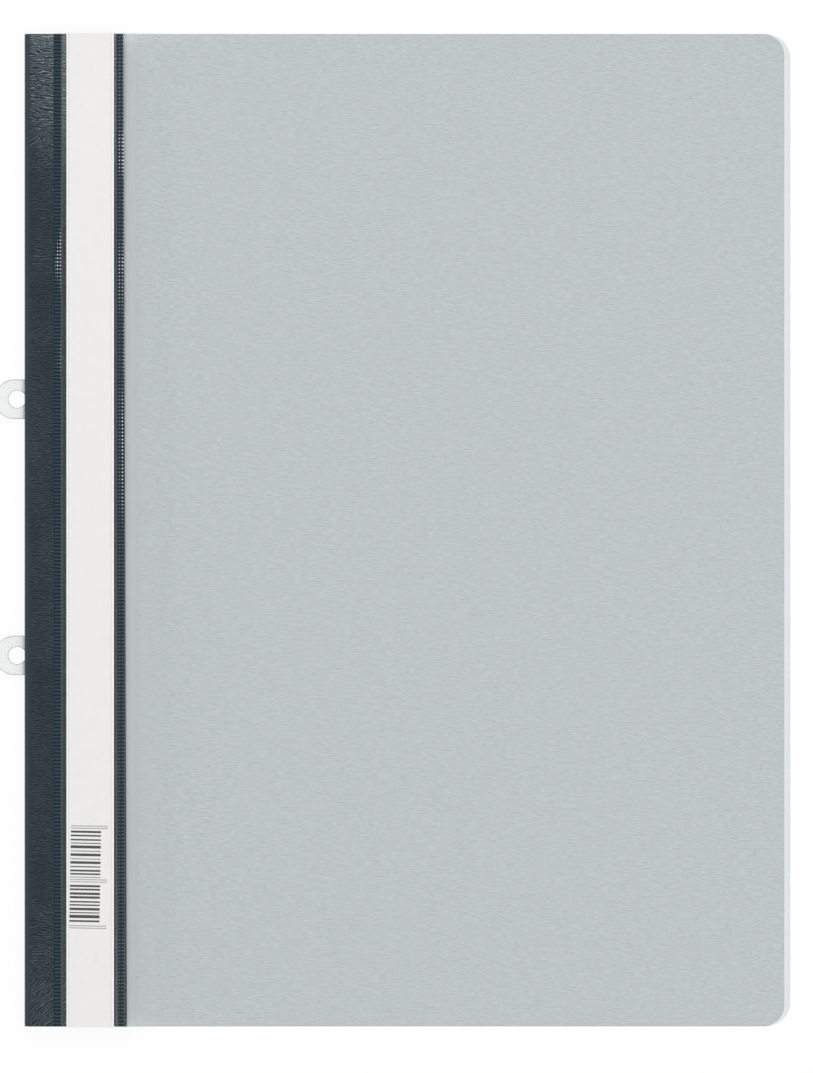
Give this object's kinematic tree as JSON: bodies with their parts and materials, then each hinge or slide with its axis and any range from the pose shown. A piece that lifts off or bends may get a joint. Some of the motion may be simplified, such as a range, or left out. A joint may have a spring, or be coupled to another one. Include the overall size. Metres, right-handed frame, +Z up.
{
  "type": "clear view folder",
  "caption": "Flat A4 presentation folder with a clear front cover, a grey back cover, a dark grained spine film with a label pocket, eyelet tabs and a prong fastener.",
  "frame": {"origin": "centre of the closed folder's footprint, tabs included, on the table that it lies on", "axes": "+Z up out of the front cover, +Y up the spine towards the folder's head, +X from the spine to the free edge"},
  "size_m": [0.2484, 0.31, 0.0043],
  "materials": {
    "grey_cover": "satin grey sheet with a very fine emboss",
    "spine_film": "dark slate film with a fine leather grain",
    "filing_strip": "clear smooth plastic strip",
    "steel_band": "bright plated band",
    "cover_bar": "smooth moulded plastic",
    "clear_window": "clear glossy film, ribbed in its weld seams",
    "label_paper": "white card",
    "clear_cover": "clear smooth film"
  },
  "bodies": {
    "back": {"back_cover": "grey_cover", "spine_film_back": "spine_film", "filing_strip": "filing_strip", "prong_band": "steel_band", "prong_cover_bar": "cover_bar"},
    "front": {"spine_film_front": "spine_film", "label_window": "clear_window", "label_insert": "label_paper", "front_cover": "clear_cover"}
  },
  "joints": [
    {"name": "front_cover_hinge", "type": "hinge", "parent": "back", "child": "front", "pos_m": [-0.1147, 0, 0.0028], "axis": [0, -1, 0], "range_deg": [0, 180]}
  ]
}
